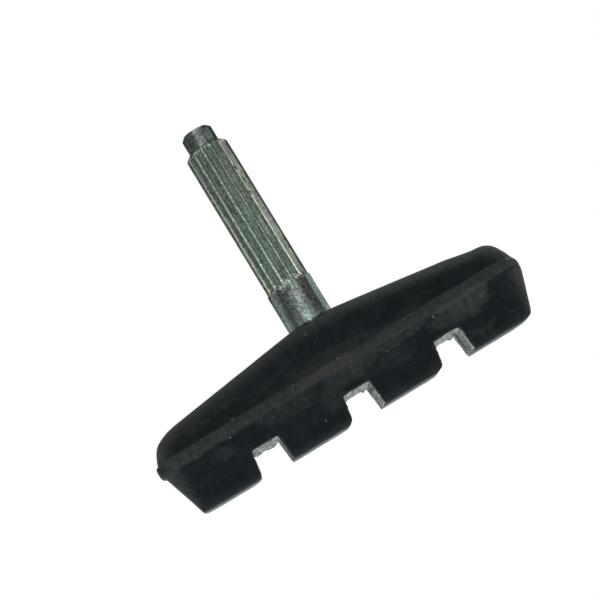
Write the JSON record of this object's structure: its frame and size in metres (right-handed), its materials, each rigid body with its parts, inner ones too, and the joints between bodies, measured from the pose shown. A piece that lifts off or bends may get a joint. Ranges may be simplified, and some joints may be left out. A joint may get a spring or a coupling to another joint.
{
  "type": "bicycle rim brake pad",
  "caption": "Notched rubber rim brake pad with a flange and a crowned back, moulded round a fluted steel post that the brake arm clamps.",
  "frame": {"origin": "on the post's axis, in the plane of the braking face", "axes": "+X along the pad's length, +Y across its width, +Z along the post, away from the rim"},
  "size_m": [0.0594, 0.0126, 0.0481],
  "materials": {
    "rubber": "matte moulded rubber, dusty and scuffed",
    "plated_steel": "dull zinc plating, drawn along the flutes"
  },
  "bodies": {
    "root": {"rubber_pad": "rubber", "post": "plated_steel"}
  },
  "joints": []
}
